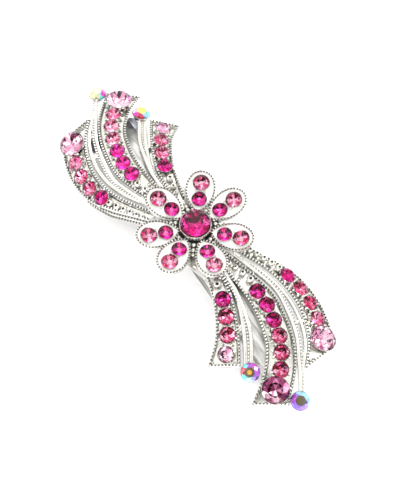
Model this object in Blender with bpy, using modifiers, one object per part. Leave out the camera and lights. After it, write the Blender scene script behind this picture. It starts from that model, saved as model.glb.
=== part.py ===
"""Rhinestone hair clip: a jewelled ribbon-and-flower ornament on a French barrette clip.

World frame: +X along the clip, hinge end first; +Z out of the jewelled face.
The origin is under the middle of the clip, on the surface that the clip lies on.
Lengths below are in millimetres and become metres in place().
"""

import math

import bmesh
import bpy
from mathutils import Matrix, Vector

MM = 0.001

# The ornament's face is a shallow dome. Heights called "level" are measured from it.
LENGTHWISE_RADIUS = 182.0
CROSSWISE_RADIUS = 25.0
DOME_TWIST = 0.00142

# Ribbon bands: cast channels that hold the rows of stones.
BAND_UNDERSIDE = -1.6
BAND_FLOOR = -0.9
LIP_TOP = -0.25
LIP_WIDTH = 0.35
BAND_SECTIONS = 13
WIRE_HALF_WIDTH = 0.45
WIRE_UNDERSIDE = -1.5
WIRE_TOP = -0.1
WIRE_SECTIONS = 11
CUP_RADIUS = 1.6
CUP_FOOT_SHARE = 0.7
CUP_SIDES = 14
CUP_CLEAR = 2.6
BAR_HALF_WIDTH = 0.6
BAR_UNDERSIDE = -1.4
BAR_TOP = -0.5

# The hem: a wall that hangs from the outer band's edge near the hub. Its section is given as
# (distance outside the edge, level), and it grows from the edge over a share of its length.
HEM_START = 0.52
HEM_RAMP = 0.45
HEM_LEAST = 0.15
HEM_SECTIONS = 9
HEM_SECTION = ((-0.3, -1.1), (-0.1, -0.7), (0.2, -1.3), (0.5, -2.3), (0.5, -2.6), (-0.3, -2.65))
HEM_TOP = -0.9

# Hub plate that joins the bands under the flower, and the solder pads below it.
HUB_HALF_LENGTH = 15.0
HUB_HALF_WIDTH = 6.0
HUB_FLAT_SHARE = 0.45
HUB_SIDES = 28
HUB_UNDERSIDE = -1.48
HUB_TOP = -0.76
PAD_HALF_LENGTH = 1.8
PAD_HALF_WIDTH = 1.4
PAD_PLACES = ((0.0, 0.0), (-24.0, -2.2), (24.0, 2.2))

# Stones: round faceted chatons. A stone's depth is set by its radius.
SMALL_STONE = 1.8
LARGE_STONE = 3.0
AURORA_STONE = 2.08
PETAL_OUTER_STONE = 1.85
PETAL_INNER_STONE = 1.7
CENTRE_STONE = 3.3
CROWN_SHARE = 0.43
GIRDLE_SHARE = 0.05
PAVILION_SHARE = 0.43
TABLE_SHARE = 0.56
CULET_SHARE = 0.55
STONE_SIDES = 10
STONE_SEAT_GAP = 0.1

# Flower: petal dishes round a cup for the centre stone, soldered on a little off the hub's middle.
FLOWER_PLACE = (0.5, 0.3)
PETAL_ANGLES = (39, 93, 140, 199, 251, 295, 350)
PETAL_BASE = 3.6
PETAL_TIP = 13.5
PETAL_HALF_WIDTH = 3.4
PETAL_FULLNESS = 0.35
PETAL_WIDEST = 0.897
PETAL_RIM = 0.45
PETAL_DEPTH = 1.9
PETAL_TILT = math.radians(8)
PETAL_LEVEL = 2.0
INNER_RING = 6.7
OUTER_RING = 10.5
PETAL_POINTS = 22
CENTRE_LEVEL = 3.15
# (radius, level) down the inside of the centre cup and back under the flower's middle.
CORE_PROFILE = (
    (0, 1.6), (2.7, 1.6), (3.35, 2.9), (3.75, 2.9), (3.95, 1.3),
    (5.3, 1.0), (5.3, 0.1), (4.2, -0.1), (3.6, -0.66), (0, -0.66),
)
CORE_SIDES = 24

# Barrette clip: base bar, tension bar, lever arm, hinge pin and spring clasp.
BASE_LEVEL = -2.3
BASE_THICKNESS = 0.8
BASE_HALF_WIDTH = 4.0
BASE_FREE_END = -38.0
BASE_HINGE_END = 35.6
TENSION_REACH = 29.0
TENSION_HALF_WIDTH = 2.0
TENSION_THICKNESS = 0.45
TENSION_BOW = 0.7
ARM_LEVEL = -9.2
ARM_ARCH = 0.0016
ARM_THICKNESS = 0.8
ARM_HALF_WIDTH = 3.6
ARM_NECK_HALF_WIDTH = 2.75
ARM_TIP = -39.8
ARM_CURL_START = -38.6
HINGE_X = 35.0
PIN_RADIUS = 0.7
PIN_HEAD_RADIUS = 1.15
PIN_HEAD_LENGTH = 0.4
PIN_SIDES = 24
RUNNING_GAP = 0.06
KNUCKLE_RADIUS = 1.3
EAR_RADIUS = 1.5
EAR_INNER = 3.0
EAR_OUTER = 3.9
EAR_ROOT_BACK = 3.2
EAR_NECK_BACK = 2.4
EAR_NECK_DROP = 1.6
CLIP_GAP = 0.1
CLASP_ENDS = (-37.4, -32.6)
CLASP_HALF_WIDTH = 3.4
CLASP_THICKNESS = 0.6
LEG_ENDS = (-36.8, -33.2)
LEG_INNER = 1.7
LEG_THICKNESS = 0.6
LEG_REACH = 0.35
TAB_LEVEL = -8.7
TAB_THICKNESS = 0.6
TAB_REACH = 6.7
TAB_DROP = 0.9
TAB_ROOT = 1.9
# A tab's width at shares of its length: its end is rounded.
TAB_WIDTHS = ((0, 1.0), (0.8, 1.0), (0.93, 0.75), (1.0, 0.35))
BARB_REACH = 0.35
BARB_HEIGHT = 0.9
BARB_THICKNESS = 0.3
BARB_INSET = 0.3
WINDOW_ENDS = (-37.4, -32.6)
WINDOW_HALF_WIDTH = 2.75
WINDOW_LEVELS = (-16.0, -6.0)
HOLE_REACH = 5.0

PIN_LEVEL = ARM_LEVEL - ARM_ARCH * HINGE_X**2 - ARM_THICKNESS / 2
LIFT = EAR_RADIUS - PIN_LEVEL

# Each ribbon band of the left fan: its two edges from the tip to the hub, the share of the width
# at which its stones sit, its stones from the tip inwards, and the spaces between them.
OUTER_BAND = {
    "name": "outer_band",
    "edges": (
        ((-38.3, -11.6), (-34.0, -13.9), (-28.0, -15.3), (-21.5, -14.9), (-15.5, -12.0), (-8.0, -7.0)),
        ((-39.4, -3.5), (-35.0, -7.2), (-30.2, -9.4), (-24.0, -10.3), (-17.0, -9.1), (-8.0, -4.6)),
    ),
    "stone_share": 0.4,
    "first": 3.7,
    "step": 4.95,
    "pitch": 3.95,
    "stones": ("light_rose", "rose", "rose", "rose", "fuchsia"),
}
MIDDLE_BAND = {
    "name": "middle_band",
    "edges": (
        ((-39.2, 10.4), (-36.0, 5.6), (-32.6, 2.4), (-28.5, 0.4), (-21.0, -1.0), (-8.0, -0.3)),
        ((-44.0, 3.9), (-38.3, -1.6), (-33.5, -4.5), (-27.7, -6.2), (-20.5, -6.6), (-8.0, -2.9)),
    ),
    "stone_share": 0.52,
    "first": 2.93,
    "step": 4.4,
    "pitch": 3.68,
    "stones": ("light_rose", "rose", "rose", "rose", "fuchsia", "fuchsia", "fuchsia"),
}
INNER_BAND = {
    "name": "inner_band",
    "edges": (
        ((-27.0, 13.7), (-23.8, 9.8), (-20.0, 7.2), (-15.0, 4.9), (-8.0, 2.9)),
        ((-31.4, 8.1), (-26.0, 4.9), (-20.0, 2.2), (-15.0, 0.9), (-8.0, 0.5)),
    ),
    "stone_share": 0.5,
    "first": 2.25,
    "step": 4.0,
    "pitch": 3.9,
    "stones": ("light_rose", "rose", "rose", "fuchsia"),
}
BANDS = (OUTER_BAND, MIDDLE_BAND, INNER_BAND)
# A wire runs beside each side of the middle band and ends in the cup of an aurora stone.
OUTER_WIRE = (
    (-44.56, 1.56), (-41.0, -0.9), (-37.2, -3.1), (-32.4, -5.7), (-26.3, -7.3), (-20.0, -7.6), (-10.0, -4.4),
)
INNER_WIRE = ((-33.7, 7.2), (-31.5, 5.4), (-27.0, 2.7), (-23.0, 1.3), (-17.0, 0.0), (-10.0, 0.1))
WIRES = {"outer_aurora": OUTER_WIRE, "inner_aurora": INNER_WIRE}
CROSS_BARS = (
    ((-30.2, -9.7), (-29.2, -6.5)),
    ((-37.0, -5.4), (-35.4, -3.6)),
    ((-24.8, 4.9), (-23.8, 1.2)),
)

FINISHES = {
    "rhodium": ((0.80, 0.80, 0.79), 1.0, 0.16),
    "spring_steel": ((0.62, 0.62, 0.61), 1.0, 0.30),
    "light_rose": ((0.98, 0.62, 0.74), 0.0, 0.05),
    "rose": ((0.90, 0.18, 0.38), 0.0, 0.05),
    "fuchsia": ((0.82, 0.03, 0.40), 0.0, 0.05),
    "deep_fuchsia": ((0.62, 0.01, 0.33), 0.0, 0.05),
    "aurora": ((0.60, 0.55, 0.90), 0.0, 0.05),
}


def place(x, y, z):
    """A point of the model in world metres."""
    return Vector((x, y, z + LIFT)) * MM


def dome(x, y):
    return -(x * x / (2 * LENGTHWISE_RADIUS) + y * y / (2 * CROSSWISE_RADIUS) - DOME_TWIST * x * y)


def dome_normal(x, y):
    slope_x = x / LENGTHWISE_RADIUS - DOME_TWIST * y
    slope_y = y / CROSSWISE_RADIUS - DOME_TWIST * x
    return Vector((slope_x, slope_y, 1)).normalized()


def start_scene():
    for obj in list(bpy.data.objects):
        bpy.data.objects.remove(obj)
    groups = {}
    for name in ("hair_clip", "cutters"):
        groups[name] = bpy.data.collections.new(name)
        bpy.context.scene.collection.children.link(groups[name])
    groups["cutters"].hide_render = True
    return groups


def make_materials():
    made = {}
    for name, (colour, metallic, roughness) in FINISHES.items():
        made[name] = bpy.data.materials.new(name)
        made[name].use_nodes = True
        shader = made[name].node_tree.nodes["Principled BSDF"]
        shader.inputs["Base Color"].default_value = (*colour, 1)
        shader.inputs["Metallic"].default_value = metallic
        shader.inputs["Roughness"].default_value = roughness
    return made


def new_object(name, mesh_data, material):
    obj = bpy.data.objects.new(name, mesh_data)
    GROUPS["hair_clip"].objects.link(obj)
    mesh_data.materials.append(MATERIALS[material])
    return obj


def hang_on(obj, pivot):
    """Puts a moving piece's origin on its joint, without moving the piece."""
    obj.data.transform(Matrix.Translation(-pivot))
    obj.location = pivot


def finish_mesh(name, bm):
    bmesh.ops.recalc_face_normals(bm, faces=bm.faces)
    mesh_data = bpy.data.meshes.new(name)
    bm.to_mesh(mesh_data)
    bm.free()
    return mesh_data


def smooth_path(points, count):
    """Count points, evenly spaced, on a Catmull-Rom curve through the given ones."""
    knots = [Vector(p) for p in points]
    knots = [2 * knots[0] - knots[1], *knots, 2 * knots[-1] - knots[-2]]
    fine = []
    for a, b, c, d in zip(knots, knots[1:], knots[2:], knots[3:]):
        for step in range(16):
            t = step / 16
            fine.append(
                (2 * b + (c - a) * t + (2 * a - 5 * b + 4 * c - d) * t**2 + (3 * b - a - 3 * c + d) * t**3) / 2
            )
    fine.append(knots[-2])
    reach = [0.0]
    for a, b in zip(fine, fine[1:]):
        reach.append(reach[-1] + (b - a).length)
    return [along(fine, reach, reach[-1] * i / (count - 1)) for i in range(count)]


def along(points, reach, distance):
    """The point at a distance along a chain of points, whose distances from its start are in reach."""
    for i in range(1, len(points)):
        if reach[i] >= distance or i == len(points) - 1:
            share = (distance - reach[i - 1]) / (reach[i] - reach[i - 1])
            return points[i - 1].lerp(points[i], share)


def loft(bm, rings):
    """A closed solid through rings of points, with flat ends."""
    loops = [[bm.verts.new(p) for p in ring] for ring in rings]
    size = len(loops[0])
    for low, high in zip(loops, loops[1:]):
        for i in range(size):
            j = (i + 1) % size
            bm.faces.new((low[i], low[j], high[j], high[i]))
    bm.faces.new(loops[0][::-1])
    bm.faces.new(loops[-1])


def on_dome(point, level):
    return place(point[0], point[1], dome(point[0], point[1]) + level)


def half_turn(mesh_data):
    """The same mesh for the other fan: the ornament is unchanged by half a turn about Z."""
    turned = mesh_data.copy()
    turned.transform(Matrix.Rotation(math.pi, 4, "Z"))
    return turned


def band_mesh(band):
    """A cast channel between two edge curves, with a raised lip along each edge."""
    first, second = (smooth_path(edge, BAND_SECTIONS) for edge in band["edges"])
    bm = bmesh.new()
    rings = []
    for a, b in zip(first, second):
        lip = LIP_WIDTH / (b - a).length
        section = (
            (0, BAND_UNDERSIDE), (0, LIP_TOP), (lip, LIP_TOP), (lip, BAND_FLOOR),
            (1 - lip, BAND_FLOOR), (1 - lip, LIP_TOP), (1, LIP_TOP), (1, BAND_UNDERSIDE),
        )
        rings.append([on_dome(a.lerp(b, share), level) for share, level in section])
    loft(bm, rings)
    return finish_mesh(band["name"], bm)


def wall_mesh(start, end, half_width, underside, top, sections=5):
    """A straight low wall on the dome, from one point to another."""
    start, end = Vector(start), Vector(end)
    side = Vector((start.y - end.y, end.x - start.x)).normalized() * half_width
    bm = bmesh.new()
    rings = []
    for i in range(sections):
        middle = start.lerp(end, i / (sections - 1))
        corners = ((-1, underside), (-1, top), (1, top), (1, underside))
        rings.append([on_dome(middle + side * sign, level) for sign, level in corners])
    loft(bm, rings)
    return finish_mesh("wall", bm)


def tip_wall_mesh(band):
    """The lip that closes a band's open tip."""
    corner_a, corner_b = (Vector(edge[0]) for edge in band["edges"])
    inward = (smooth_path(band["edges"][0], BAND_SECTIONS)[1] - corner_a).normalized()
    shift = inward * LIP_WIDTH * 0.6
    overrun = (corner_b - corner_a).normalized() * LIP_WIDTH * 0.3
    start, end = corner_a + shift + overrun, corner_b + shift - overrun
    return wall_mesh(start, end, LIP_WIDTH / 2, BAND_UNDERSIDE + 0.06, LIP_TOP - 0.04)


def hem_mesh(band):
    """The wall that hangs from a band's first edge, from HEM_START of the way along to the hub."""
    fine = 60
    edge, inner = (smooth_path(line, fine) for line in band["edges"])
    bm = bmesh.new()
    rings = []
    for i in range(HEM_SECTIONS):
        share = i / (HEM_SECTIONS - 1)
        at = round((HEM_START + (1 - HEM_START) * share) * (fine - 1))
        outward = (edge[at] - inner[at]).normalized()
        grown = min(1, max(HEM_LEAST, share / HEM_RAMP))
        ring = []
        for distance, level in HEM_SECTION:
            reach = distance * grown if distance > 0 else distance
            depth = HEM_TOP + (level - HEM_TOP) * grown if level < HEM_TOP else level
            ring.append(on_dome(edge[at] + outward * reach, depth))
        rings.append(ring)
    loft(bm, rings)
    return finish_mesh("hem", bm)


def wire_mesh(points):
    """A rounded rib that follows a route over the dome, and dips under the stone in the cup at its start."""
    fine = smooth_path(points, 40 * WIRE_SECTIONS)
    reach = [0.0]
    for a, b in zip(fine, fine[1:]):
        reach.append(reach[-1] + (b - a).length)
    evenly = [CUP_CLEAR + (reach[-1] - CUP_CLEAR) * i / (WIRE_SECTIONS - 1) for i in range(WIRE_SECTIONS)]
    bm = bmesh.new()
    rings = []
    for distance in (0.3, CUP_RADIUS - 0.2, *evenly):
        top = WIRE_TOP if distance >= CUP_CLEAR else BAND_FLOOR - 0.08
        middle = along(fine, reach, distance)
        ahead = along(fine, reach, min(distance + 0.2, reach[-1])) - along(fine, reach, max(distance - 0.2, 0))
        side = Vector((-ahead.y, ahead.x)).normalized() * WIRE_HALF_WIDTH
        section = (
            (-1, WIRE_UNDERSIDE), (-1, top - 0.35), (-0.5, top),
            (0.5, top), (1, top - 0.35), (1, WIRE_UNDERSIDE),
        )
        rings.append([on_dome(middle + side * share, level) for share, level in section])
    loft(bm, rings)
    return finish_mesh("wire", bm)


def cup_mesh(centre):
    """The round seat at the end of a wire, square to the dome."""
    bm = bmesh.new()
    height = BAND_FLOOR - WIRE_UNDERSIDE
    middle = dome(*centre) + (BAND_FLOOR + WIRE_UNDERSIDE) / 2
    foot, rim = CUP_RADIUS * CUP_FOOT_SHARE * MM, CUP_RADIUS * MM
    bmesh.ops.create_cone(bm, cap_ends=True, segments=CUP_SIDES, radius1=foot, radius2=rim, depth=height * MM)
    bm.transform(Matrix.Translation(place(*centre, middle)) @ tilt_to(dome_normal(*centre)))
    return finish_mesh("cup", bm)


def tilt_to(normal):
    return Vector((0, 0, 1)).rotation_difference(normal).to_matrix().to_4x4()


def hub_mesh():
    """A thin domed plate under the flower."""
    bm = bmesh.new()
    rings = []
    shares = ((HUB_FLAT_SHARE, HUB_TOP), (1.0, HUB_TOP), (1.0, HUB_UNDERSIDE), (HUB_FLAT_SHARE, HUB_UNDERSIDE))
    for share, level in shares:
        ring = []
        for i in range(HUB_SIDES):
            angle = 2 * math.pi * i / HUB_SIDES
            x = HUB_HALF_LENGTH * share * math.cos(angle)
            y = HUB_HALF_WIDTH * share * math.sin(angle)
            ring.append(on_dome((x, y), level))
        rings.append(ring)
    loft(bm, rings)
    return finish_mesh("hub", bm)


def pad_mesh(x, y):
    """A solder pad between the casting and the base bar."""
    low = max(base_top(x + end) for end in (-PAD_HALF_LENGTH, 0, PAD_HALF_LENGTH)) + CLIP_GAP
    high = dome(x, y) + (BAND_UNDERSIDE + BAND_FLOOR) / 2
    bm = bmesh.new()
    bmesh.ops.create_cube(bm, size=1)
    size = Vector((2 * PAD_HALF_LENGTH, 2 * PAD_HALF_WIDTH, high - low)) * MM
    bm.transform(Matrix.Translation(place(x, y, (high + low) / 2)) @ Matrix.Diagonal((*size, 1)))
    return finish_mesh("pad", bm)


def joined(name, meshes, material):
    """One object made by a Boolean union of closed meshes."""
    body = new_object(name, meshes[0], material)
    tools = bpy.data.collections.new(name + "_pieces")
    GROUPS["cutters"].children.link(tools)
    for mesh_data in meshes[1:]:
        add_tool(tools, name + "_piece", mesh_data)
    union = body.modifiers.new("join", "BOOLEAN")
    union.operand_type = "COLLECTION"
    union.collection = tools
    union.operation = "UNION"
    union.solver = "EXACT"
    return body


def add_tool(group, name, mesh_data):
    tool = bpy.data.objects.new(name, mesh_data)
    group.objects.link(tool)
    tool.hide_render = True
    tool.display_type = "WIRE"
    return tool


def cut(body, name, mesh_data):
    modifier = body.modifiers.new(name, "BOOLEAN")
    modifier.object = add_tool(GROUPS["cutters"], name + "_cutter", mesh_data)
    modifier.operation = "DIFFERENCE"
    modifier.solver = "EXACT"


def make_ornament_casting():
    fan = [band_mesh(band) for band in BANDS] + [tip_wall_mesh(band) for band in BANDS]
    fan.append(hem_mesh(OUTER_BAND))
    for wire in WIRES.values():
        fan.append(wire_mesh(wire))
        fan.append(cup_mesh(wire[0]))
    fan += [wall_mesh(a, b, BAR_HALF_WIDTH, BAR_UNDERSIDE, BAR_TOP) for a, b in CROSS_BARS]
    other_fan = [half_turn(piece) for piece in fan]
    pads = [pad_mesh(*spot) for spot in PAD_PLACES]
    joined("ornament_casting", [hub_mesh(), *fan, *other_fan, *pads], "rhodium")


def teardrop(inset):
    """A petal's outline in the petal's own plane, as (distance from the centre, sideways)."""
    length = PETAL_TIP - PETAL_BASE
    middle = PETAL_BASE + length / 2
    outline = []
    for i in range(PETAL_POINTS):
        turn = 2 * math.pi * (i + 0.5) / PETAL_POINTS
        out = -math.cos(turn) / 2 * (length - 2 * inset)
        side = math.sin(turn) * math.sin(turn / 2) ** PETAL_FULLNESS / PETAL_WIDEST
        outline.append((middle + out, side * (PETAL_HALF_WIDTH - inset)))
    return outline


def petal_point(angle, out, side, level):
    x = FLOWER_PLACE[0] + out * math.cos(angle) - side * math.sin(angle)
    y = FLOWER_PLACE[1] + out * math.sin(angle) + side * math.cos(angle)
    rise = (out - INNER_RING) * math.tan(PETAL_TILT)
    return place(x, y, PETAL_LEVEL + rise + level)


def petal_mesh(angle):
    """A shallow dish with a raised rim, tilted up towards its tip."""
    bm = bmesh.new()
    loops = ((0.5, -PETAL_DEPTH), (0.0, -0.5), (0.0, -0.1), (PETAL_RIM, -0.1), (PETAL_RIM + 0.3, BAND_FLOOR))
    loft(bm, [[petal_point(angle, *p, level) for p in teardrop(inset)] for inset, level in loops])
    return finish_mesh("petal", bm)


def turned(name, profile, steps, matrix, material):
    """A solid of revolution about its own Z: the profile runs down its outside, in millimetres."""
    bm = bmesh.new()
    chain = [bm.verts.new((radius * MM, 0, level * MM)) for radius, level in profile]
    for a, b in zip(chain, chain[1:]):
        bm.edges.new((a, b))
    mesh_data = bpy.data.meshes.new(name)
    bm.to_mesh(mesh_data)
    bm.free()
    obj = new_object(name, mesh_data, material)
    obj.matrix_world = matrix
    screw = obj.modifiers.new("turn", "SCREW")
    screw.steps = steps
    screw.render_steps = steps
    screw.use_merge_vertices = True
    screw.merge_threshold = 0.00001
    screw.use_smooth_shade = False
    return obj


def baked(obj):
    """The object's evaluated mesh in world space; the object itself is removed."""
    graph = bpy.context.evaluated_depsgraph_get()
    mesh_data = bpy.data.meshes.new_from_object(obj.evaluated_get(graph))
    mesh_data.transform(obj.matrix_world)
    bpy.data.objects.remove(obj)
    return mesh_data


def flower_core_mesh():
    """The post, disc and stone cup in the middle of the flower."""
    middle = Matrix.Translation(place(*FLOWER_PLACE, 0))
    return baked(turned("core", CORE_PROFILE, CORE_SIDES, middle, "rhodium"))


def make_flower_casting():
    petals = [petal_mesh(math.radians(angle)) for angle in PETAL_ANGLES]
    joined("flower_casting", [flower_core_mesh(), *petals], "rhodium")


def stone_profile(radius):
    return (
        (0, CROWN_SHARE * radius),
        (TABLE_SHARE * radius, CROWN_SHARE * radius),
        (radius, GIRDLE_SHARE * radius),
        (radius, 0),
        (CULET_SHARE * radius, -PAVILION_SHARE * radius),
        (0, -PAVILION_SHARE * radius),
    )


def make_stone(name, radius, spot, normal, colour):
    matrix = Matrix.Translation(spot) @ tilt_to(normal)
    turned(name, stone_profile(radius), STONE_SIDES, matrix, colour)


def seat_level(radius):
    """The girdle's level on a band or petal: the stone's flat point stands just clear of the floor."""
    return BAND_FLOOR + STONE_SEAT_GAP + PAVILION_SHARE * radius


def band_stones(band):
    """(name, radius, x, y, colour) of each stone of a band, from its tip inwards."""
    first, second = (smooth_path(edge, 60) for edge in band["edges"])
    line = [a.lerp(b, band["stone_share"]) for a, b in zip(first, second)]
    reach = [0.0]
    for a, b in zip(line, line[1:]):
        reach.append(reach[-1] + (b - a).length)
    large_tip = band is not INNER_BAND
    for i, colour in enumerate(band["stones"]):
        distance = band["first"] if i == 0 else band["first"] + band["step"] + band["pitch"] * (i - 1)
        spot = along(line, reach, distance)
        radius = LARGE_STONE if i == 0 and large_tip else SMALL_STONE
        yield f"{band['name']}_stone_{i + 1}", radius, spot.x, spot.y, colour


def make_fan_stones():
    stones = [stone for band in BANDS for stone in band_stones(band)]
    stones += [(name + "_stone", AURORA_STONE, *wire[0], "aurora") for name, wire in WIRES.items()]
    for side, sign in (("left", 1), ("right", -1)):
        for name, radius, x, y, colour in stones:
            x, y = x * sign, y * sign
            spot = on_dome((x, y), 0) + dome_normal(x, y) * seat_level(radius) * MM
            make_stone(f"{side}_{name}", radius, spot, dome_normal(x, y), colour)


def make_flower_stones():
    rings = (
        ("inner", INNER_RING, PETAL_INNER_STONE, "fuchsia"),
        ("outer", OUTER_RING, PETAL_OUTER_STONE, "rose"),
    )
    for i, degrees in enumerate(PETAL_ANGLES):
        angle = math.radians(degrees)
        normal = Matrix.Rotation(angle, 3, "Z") @ Vector((-math.sin(PETAL_TILT), 0, math.cos(PETAL_TILT)))
        for ring, out, radius, colour in rings:
            spot = petal_point(angle, out, 0, seat_level(radius))
            make_stone(f"petal_{i + 1}_{ring}_stone", radius, spot, normal, colour)
    middle = place(*FLOWER_PLACE, CENTRE_LEVEL)
    make_stone("centre_stone", CENTRE_STONE, middle, Vector((0, 0, 1)), "deep_fuchsia")


def base_top(x):
    return BASE_LEVEL - x * x / (2 * LENGTHWISE_RADIUS)


def base_underside(x):
    return base_top(x) - BASE_THICKNESS


def tension_top(x):
    return base_underside(x) - CLIP_GAP - TENSION_BOW * (1 - (x / TENSION_REACH) ** 2)


def arm_top(x):
    """The arm is arched; its free tip curls down to the surface that the clip lies on."""
    curl = min(x - ARM_CURL_START, 0) / (ARM_TIP - ARM_CURL_START)
    flat_tip = ARM_LEVEL - ARM_ARCH * ARM_TIP**2 - ARM_THICKNESS
    return ARM_LEVEL - ARM_ARCH * x * x - (flat_tip + LIFT) * curl**2


def strip_mesh(name, stations, top, thickness):
    """A strip of metal along X through (x, half width) stations."""
    bm = bmesh.new()
    rings = []
    for x, half in stations:
        z = top(x)
        section = ((-half, z), (half, z), (half, z - thickness), (-half, z - thickness))
        rings.append([place(x, y, level) for y, level in section])
    loft(bm, rings)
    return finish_mesh(name, bm)


def stations(start, end, half, count):
    return [(start + (end - start) * i / (count - 1), half) for i in range(count)]


def extruded(name, outline, start, end):
    """A flat outline in X and Z, extruded along Y from start to end."""
    bm = bmesh.new()
    loft(bm, [[place(x, y, z) for x, z in outline] for y in (start, end)])
    return finish_mesh(name, bm)


def cylinder_mesh(name, radius, start, end, sides=PIN_SIDES):
    """A cylinder on the hinge axis."""
    outline = [
        (HINGE_X + radius * math.cos(a), PIN_LEVEL + radius * math.sin(a))
        for a in (2 * math.pi * i / sides for i in range(sides))
    ]
    return extruded(name, outline, start, end)


def ear_outline():
    """A hinge ear hangs from the base bar and ends in a half round with a flat foot."""
    turn = [math.radians(a) for a in (0, -22.5, -45, -67.5)]
    right = [(HINGE_X + EAR_RADIUS * math.cos(a), PIN_LEVEL + EAR_RADIUS * math.sin(a)) for a in turn]
    foot = EAR_RADIUS * math.cos(turn[3])
    bottom = [(HINGE_X + foot, PIN_LEVEL - EAR_RADIUS), (HINGE_X - foot, PIN_LEVEL - EAR_RADIUS)]
    left = [(2 * HINGE_X - x, z) for x, z in reversed(right)]
    root = base_top(HINGE_X - EAR_NECK_BACK) - BASE_THICKNESS / 2
    front = (BASE_HINGE_END - CLIP_GAP, root - BASE_THICKNESS / 2)
    back = [(HINGE_X - EAR_NECK_BACK, root - EAR_NECK_DROP), (HINGE_X - EAR_ROOT_BACK, root)]
    return [front, *right[:3], *bottom, *left[1:], *back]


def make_base_bar():
    ends = [(BASE_FREE_END, 2.6), (BASE_FREE_END + 0.5, 3.6), (BASE_FREE_END + 1.4, BASE_HALF_WIDTH)]
    strip = strip_mesh(
        "base", ends + stations(-33.0, BASE_HINGE_END, BASE_HALF_WIDTH, 15), base_top, BASE_THICKNESS
    )
    ears = [extruded("ear", ear_outline(), side * EAR_INNER, side * EAR_OUTER) for side in (-1, 1)]
    base = joined("base_bar", [strip, *ears], "rhodium")
    cut(base, "pin_hole", cylinder_mesh("hole", PIN_RADIUS + RUNNING_GAP, -HOLE_REACH, HOLE_REACH))


def make_tension_bar():
    length = stations(-TENSION_REACH, TENSION_REACH, TENSION_HALF_WIDTH, 15)
    strip = strip_mesh("tension", length, tension_top, TENSION_THICKNESS)
    new_object("tension_bar", strip, "spring_steel")


def make_lever_arm():
    tip = [(ARM_TIP, 2.2), (ARM_TIP + 0.4, 2.9), (ARM_CURL_START, 3.4), (-37.9, ARM_HALF_WIDTH)]
    body = stations(-32.0, 31.0, ARM_HALF_WIDTH, 12)
    neck = [(32.2, ARM_NECK_HALF_WIDTH), (HINGE_X, ARM_NECK_HALF_WIDTH)]
    strip = strip_mesh("arm", tip + body + neck, arm_top, ARM_THICKNESS)
    knuckle = cylinder_mesh("knuckle", KNUCKLE_RADIUS, -ARM_NECK_HALF_WIDTH - 0.1, ARM_NECK_HALF_WIDTH + 0.1)
    arm = joined("lever_arm", [strip, knuckle], "rhodium")
    low, high = WINDOW_LEVELS
    window = [(WINDOW_ENDS[0], low), (WINDOW_ENDS[1], low), (WINDOW_ENDS[1], high), (WINDOW_ENDS[0], high)]
    cut(arm, "clasp_window", extruded("window", window, -WINDOW_HALF_WIDTH, WINDOW_HALF_WIDTH))
    cut(arm, "arm_pin_hole", cylinder_mesh("hole", PIN_RADIUS + RUNNING_GAP, -HOLE_REACH, HOLE_REACH))
    hang_on(arm, place(HINGE_X, 0, PIN_LEVEL))


def make_hinge_pin():
    half = EAR_OUTER + CLIP_GAP
    end = half + PIN_HEAD_LENGTH
    profile = (
        (0, end), (PIN_HEAD_RADIUS * 0.7, end), (PIN_HEAD_RADIUS, half + 0.15), (PIN_HEAD_RADIUS, half),
        (PIN_RADIUS, half), (PIN_RADIUS, -half), (PIN_HEAD_RADIUS, -half), (PIN_HEAD_RADIUS, -half - 0.15),
        (PIN_HEAD_RADIUS * 0.7, -end), (0, -end),
    )
    lying = Matrix.Rotation(math.pi / 2, 4, "X")
    axis = Matrix.Translation(place(HINGE_X, 0, PIN_LEVEL))
    turned("hinge_pin", profile, PIN_SIDES, axis @ lying, "spring_steel")


def clasp_top(x):
    return base_underside(x) - CLIP_GAP


def make_clasp():
    """A riveted plate and two sprung legs, whose tabs are squeezed to free the arm."""
    plate = strip_mesh("clasp", stations(*CLASP_ENDS, CLASP_HALF_WIDTH, 5), clasp_top, CLASP_THICKNESS)
    new_object("clasp_plate", plate, "spring_steel")
    for name, side in (("clasp_leg_left", 1), ("clasp_leg_right", -1)):
        leg = joined(name, clasp_leg_meshes(side), "spring_steel")
        hang_on(leg, place(0, side * (LEG_INNER + LEG_THICKNESS / 2), leg_root()))


def leg_root():
    return clasp_top(LEG_ENDS[1]) - CLASP_THICKNESS - CLIP_GAP


def clasp_leg_meshes(side):
    """An upright leg, a finger tab that reaches outwards above the arm, and a barb in the arm's window."""
    inner = side * LEG_INNER
    outer = side * (LEG_INNER + LEG_THICKNESS)
    foot = -LIFT + LEG_REACH
    low_root = clasp_top(LEG_ENDS[0]) - CLASP_THICKNESS - CLIP_GAP
    upright = [(LEG_ENDS[0], foot), (LEG_ENDS[1], foot), (LEG_ENDS[1], leg_root()), (LEG_ENDS[0], low_root)]
    middle = sum(LEG_ENDS) / 2
    half = (LEG_ENDS[1] - LEG_ENDS[0]) / 2
    tab = bmesh.new()
    rings = []
    for share, width in TAB_WIDTHS:
        y = side * (TAB_ROOT + (TAB_REACH - TAB_ROOT) * share)
        z = TAB_LEVEL - TAB_DROP * share**2
        corners = ((-1, 0), (1, 0), (1, -TAB_THICKNESS), (-1, -TAB_THICKNESS))
        rings.append([place(middle + sign * half * width, y, z + drop) for sign, drop in corners])
    loft(tab, rings)
    barb = bmesh.new()
    root = side * TAB_ROOT
    reach = outer + side * BARB_REACH
    top = foot + BARB_HEIGHT + BARB_THICKNESS
    wedge = ((root, foot + CLIP_GAP), (reach, foot + BARB_HEIGHT), (reach, top), (root, top))
    barb_ends = (LEG_ENDS[0] + BARB_INSET, LEG_ENDS[1] - BARB_INSET)
    loft(barb, [[place(x, y, z) for y, z in wedge] for x in barb_ends])
    return [extruded("upright", upright, inner, outer), finish_mesh("tab", tab), finish_mesh("barb", barb)]


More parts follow.
